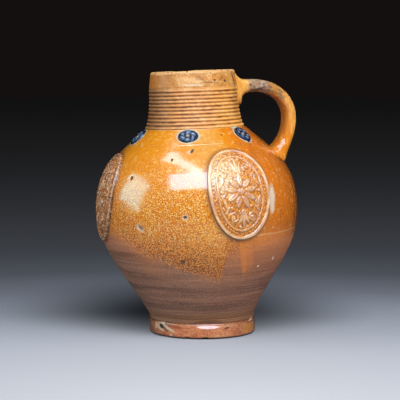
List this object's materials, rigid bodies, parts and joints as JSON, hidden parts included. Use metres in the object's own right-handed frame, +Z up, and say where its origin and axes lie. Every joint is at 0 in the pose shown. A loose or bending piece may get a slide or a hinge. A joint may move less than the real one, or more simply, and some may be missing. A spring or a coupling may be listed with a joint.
{
  "type": "stoneware jug",
  "caption": "Round-bellied salt-glazed stoneware jug with a ribbed neck, a strap handle, moulded oval medallions and blue rosettes; holds and pours liquids.",
  "frame": {"origin": "middle of the flat base, on the surface that the jug stands on", "axes": "+Z up out of the mouth, +X from the jug's axis towards the handle"},
  "size_m": [0.1889, 0.1886, 0.2435],
  "materials": {
    "body_glaze": "mottled amber salt glaze, bare brown clay towards the foot",
    "handle_glaze": "amber salt glaze with a worn grey scar",
    "relief_glaze": "thin salt glaze, pale on the raised edges",
    "cobalt_glaze": "cobalt blue under salt glaze"
  },
  "bodies": {
    "root": {"body": "body_glaze", "handle": "handle_glaze", "medallion_1": "relief_glaze", "medallion_2": "relief_glaze", "medallion_3": "relief_glaze", "rosette_1": "cobalt_glaze", "rosette_2": "cobalt_glaze", "rosette_3": "cobalt_glaze", "rosette_4": "cobalt_glaze", "rosette_5": "cobalt_glaze"}
  },
  "joints": []
}
